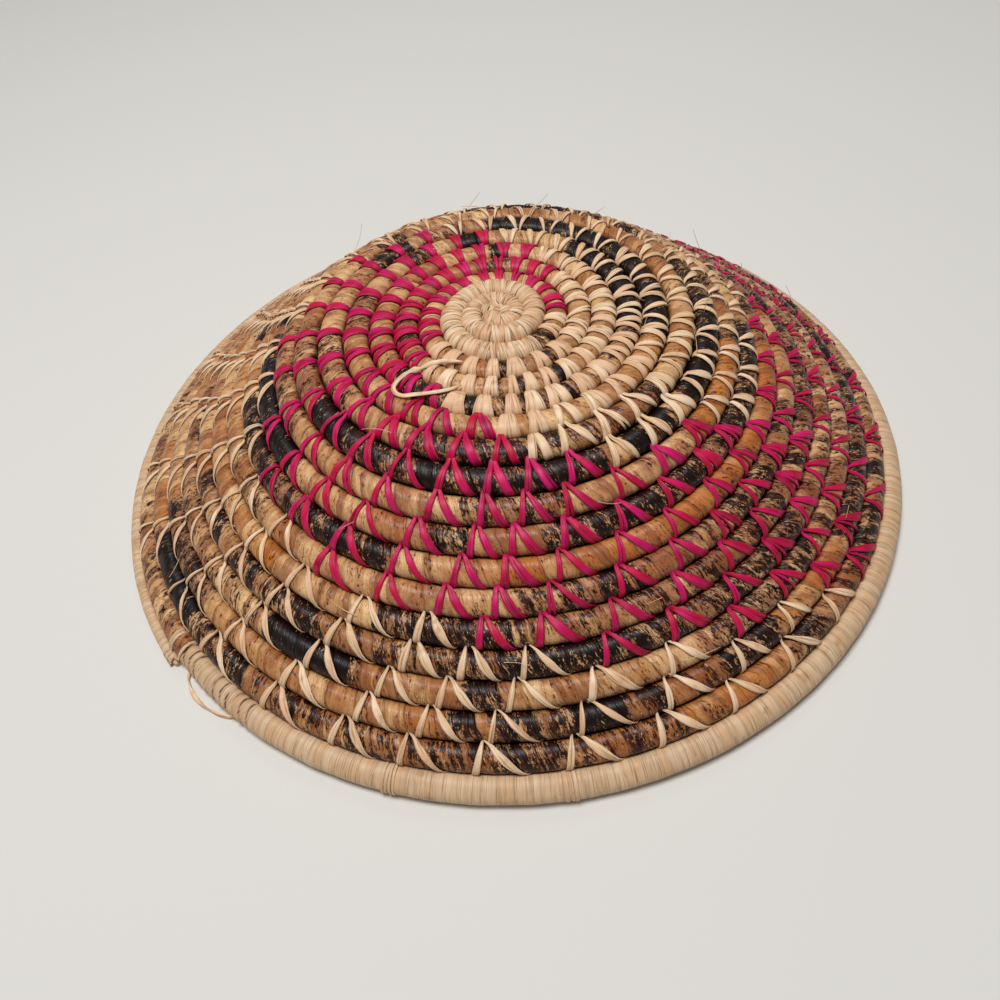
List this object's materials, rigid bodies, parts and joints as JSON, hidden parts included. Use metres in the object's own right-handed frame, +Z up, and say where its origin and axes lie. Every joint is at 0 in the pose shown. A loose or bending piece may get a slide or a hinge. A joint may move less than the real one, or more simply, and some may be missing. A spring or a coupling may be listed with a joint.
{
  "type": "coiled basket",
  "caption": "Shallow round basket of coiled straw, bound in banana leaf and stitched with raffia, lying rim down.",
  "frame": {"origin": "centre of the rim, on the surface that the rim rests on", "axes": "+Z up through the base, which is uppermost; the coil ends at azimuth 215 degrees from +X"},
  "size_m": [0.344, 0.3404, 0.0832],
  "materials": {
    "raffia": "matte",
    "leaf_tan": "matte",
    "leaf_pale": "matte",
    "leaf_orange": "matte",
    "leaf_brown": "matte",
    "leaf_streaked": "matte",
    "leaf_black": "matte",
    "magenta_raffia": "satin"
  },
  "bodies": {
    "root": {"start_coil": "raffia", "leaf_coil_01": "leaf_tan", "leaf_coil_02": "leaf_pale", "leaf_coil_03": "leaf_black", "leaf_coil_04": "leaf_tan", "leaf_coil_05": "leaf_brown", "leaf_coil_06": "leaf_orange", "leaf_coil_07": "leaf_pale", "leaf_coil_08": "leaf_streaked", "leaf_coil_09": "leaf_tan", "leaf_coil_10": "leaf_streaked", "leaf_coil_11": "leaf_brown", "leaf_coil_12": "leaf_tan", "leaf_coil_13": "leaf_streaked", "leaf_coil_14": "leaf_tan", "leaf_coil_15": "leaf_black", "rim_coil": "raffia", "loose_base_strand": "raffia", "loose_rim_strand": "raffia"}
  },
  "joints": []
}
